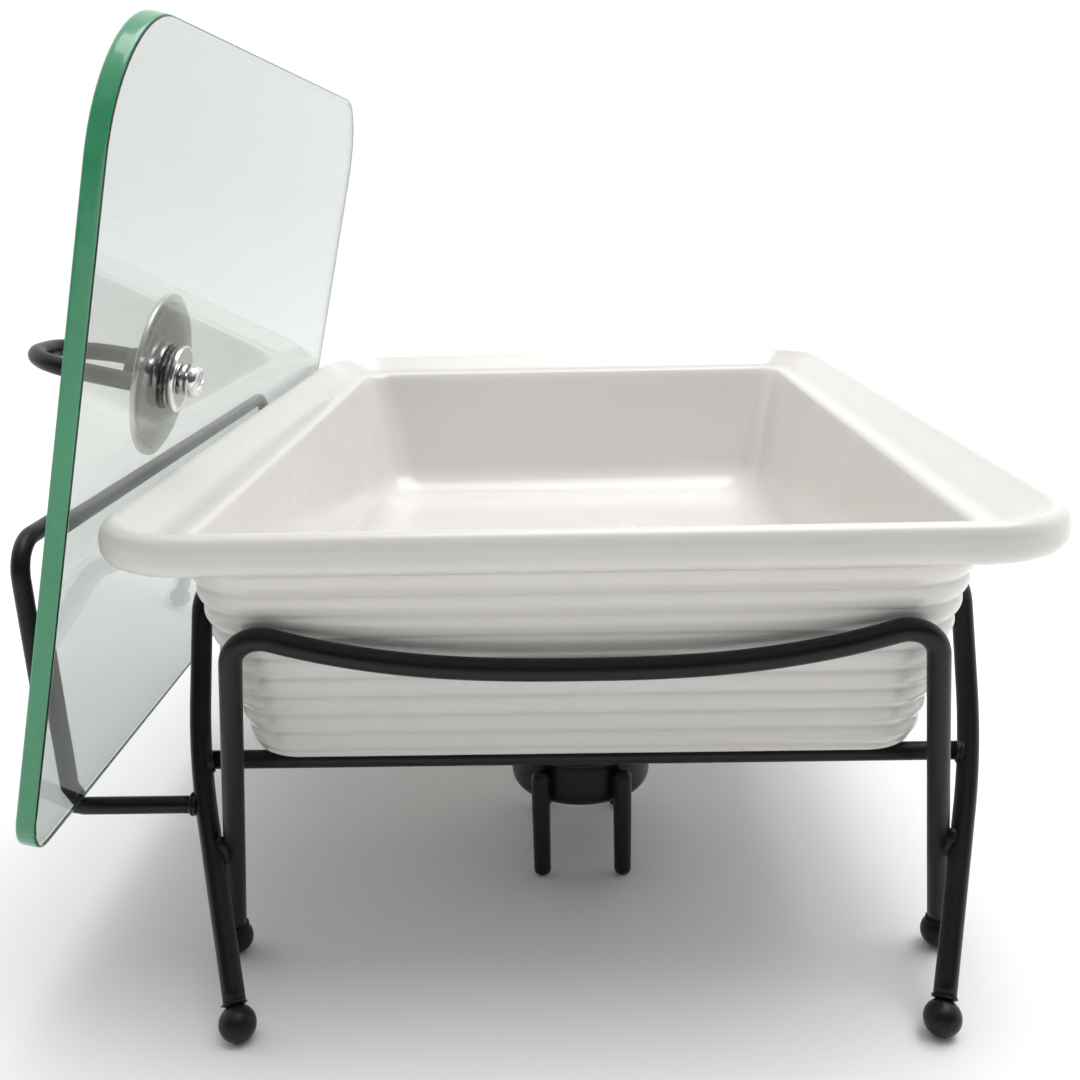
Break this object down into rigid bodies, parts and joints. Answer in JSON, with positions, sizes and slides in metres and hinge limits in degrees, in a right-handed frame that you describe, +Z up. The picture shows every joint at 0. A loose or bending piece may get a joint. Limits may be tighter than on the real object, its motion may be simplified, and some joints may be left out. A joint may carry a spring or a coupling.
{
  "type": "chafing dish food warmer",
  "caption": "Ribbed white ceramic dish on a black wire stand, with a glass lid leaning in its side rack and tealight burners below.",
  "frame": {"origin": "centre of the object's box on the table it stands on", "axes": "+Y along the dish, +X away from the lid rack, +Z up"},
  "size_m": [0.2725, 0.342, 0.2556],
  "materials": {
    "coated_wire": "satin black powder coat",
    "glazed_ceramic": "gloss white glaze",
    "lid_glass": "clear tempered glass with green edges",
    "brushed_steel": "fine brushed",
    "chrome": "bright plated",
    "gasket": "matte",
    "tealight_tin": "thin drawn foil",
    "tealight_wax": "cast wax",
    "tealight_wick": "braided cotton"
  },
  "bodies": {
    "stand": {"end_wire_front": "coated_wire", "end_wire_back": "coated_wire", "side_wire_left": "coated_wire", "side_wire_right": "coated_wire", "base_bar_front": "coated_wire", "base_bar_back": "coated_wire", "lid_rack": "coated_wire", "end_foot_fl": "coated_wire", "end_foot_fr": "coated_wire", "end_foot_bl": "coated_wire", "end_foot_br": "coated_wire", "side_foot_fl": "coated_wire", "side_foot_fr": "coated_wire", "side_foot_bl": "coated_wire", "side_foot_br": "coated_wire"},
    "dish": {"dish": "glazed_ceramic"},
    "lid": {"lid_glass": "lid_glass", "outer_gasket": "gasket", "handle_disc": "brushed_steel", "handle_boss": "coated_wire", "handle_loop": "coated_wire", "inner_gasket": "gasket", "lid_washer": "chrome", "spring_washer": "brushed_steel", "lid_screw": "brushed_steel"},
    "burner_front": {"burner_cup_front": "coated_wire", "burner_leg_front_1": "coated_wire", "burner_leg_front_2": "coated_wire", "burner_leg_front_3": "coated_wire", "burner_leg_front_4": "coated_wire", "tealight_tin_front": "tealight_tin", "tealight_wax_front": "tealight_wax", "tealight_wick_front": "tealight_wick"},
    "burner_back": {"burner_cup_back": "coated_wire", "burner_leg_back_1": "coated_wire", "burner_leg_back_2": "coated_wire", "burner_leg_back_3": "coated_wire", "burner_leg_back_4": "coated_wire", "tealight_tin_back": "tealight_tin", "tealight_wax_back": "tealight_wax", "tealight_wick_back": "tealight_wick"}
  },
  "joints": [
    {"name": "dish_lift", "type": "slide", "parent": "stand", "child": "dish", "axis": [0.2284, 0, 0.9736], "range_m": [0, 0.15]},
    {"name": "lid_lift", "type": "slide", "parent": "dish", "child": "lid", "axis": [0.2284, 0, 0.9736], "range_m": [0, 0.22]},
    {"name": "burner_front_slide", "type": "slide", "parent": "stand", "child": "burner_front", "axis": [1, 0, 0], "range_m": [0, 0.2]},
    {"name": "burner_back_slide", "type": "slide", "parent": "stand", "child": "burner_back", "axis": [1, 0, 0], "range_m": [0, 0.2]}
  ]
}
